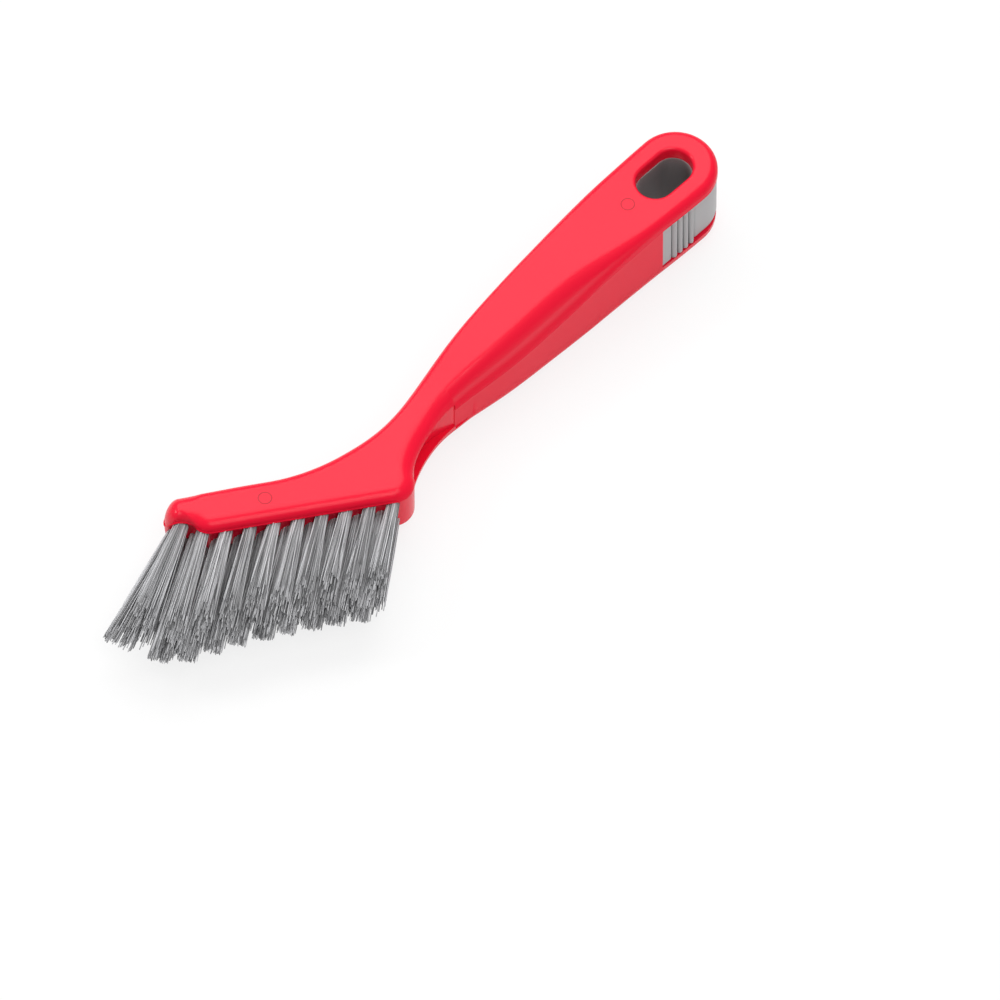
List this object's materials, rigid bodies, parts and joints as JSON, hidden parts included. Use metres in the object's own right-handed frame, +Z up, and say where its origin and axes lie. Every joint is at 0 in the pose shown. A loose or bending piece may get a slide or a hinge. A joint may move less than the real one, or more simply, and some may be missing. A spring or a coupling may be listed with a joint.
{
  "type": "grout brush",
  "caption": "Long-handled scrubbing brush with an angled narrow head of stiff bristle tufts trimmed to a V, and a soft grip round a hanging hole, for cleaning tile joints.",
  "frame": {"origin": "under the middle of the brush's bounding box, at the height of the flat underside of the handle", "axes": "+X along the handle to its hanging end, +Y away from the bristles, +Z up through the thickness of the brush as it lies on its broad side"},
  "size_m": [0.2254, 0.0635, 0.0275],
  "materials": {
    "handle": "smooth moulded polypropylene, soft gloss",
    "grip": "matte soft elastomer",
    "bristle": "fine extruded filaments",
    "anchor": "drawn flat wire"
  },
  "bodies": {
    "root": {"handle_body": "handle", "grip_insert": "grip", "tuft_upper_01": "bristle", "tuft_upper_02": "bristle", "tuft_upper_03": "bristle", "tuft_upper_04": "bristle", "tuft_upper_05": "bristle", "tuft_upper_06": "bristle", "tuft_upper_07": "bristle", "tuft_upper_08": "bristle", "tuft_upper_09": "bristle", "tuft_upper_10": "bristle", "tuft_middle_01": "bristle", "tuft_middle_02": "bristle", "tuft_middle_03": "bristle", "tuft_middle_04": "bristle", "tuft_middle_05": "bristle", "tuft_middle_06": "bristle", "tuft_middle_07": "bristle", "tuft_middle_08": "bristle", "tuft_middle_09": "bristle", "tuft_middle_10": "bristle", "tuft_lower_01": "bristle", "tuft_lower_02": "bristle", "tuft_lower_03": "bristle", "tuft_lower_04": "bristle", "tuft_lower_05": "bristle", "tuft_lower_06": "bristle", "tuft_lower_07": "bristle", "tuft_lower_08": "bristle", "tuft_lower_09": "bristle", "tuft_lower_10": "bristle", "anchors_upper": "anchor", "anchors_middle": "anchor", "anchors_lower": "anchor"}
  },
  "joints": []
}
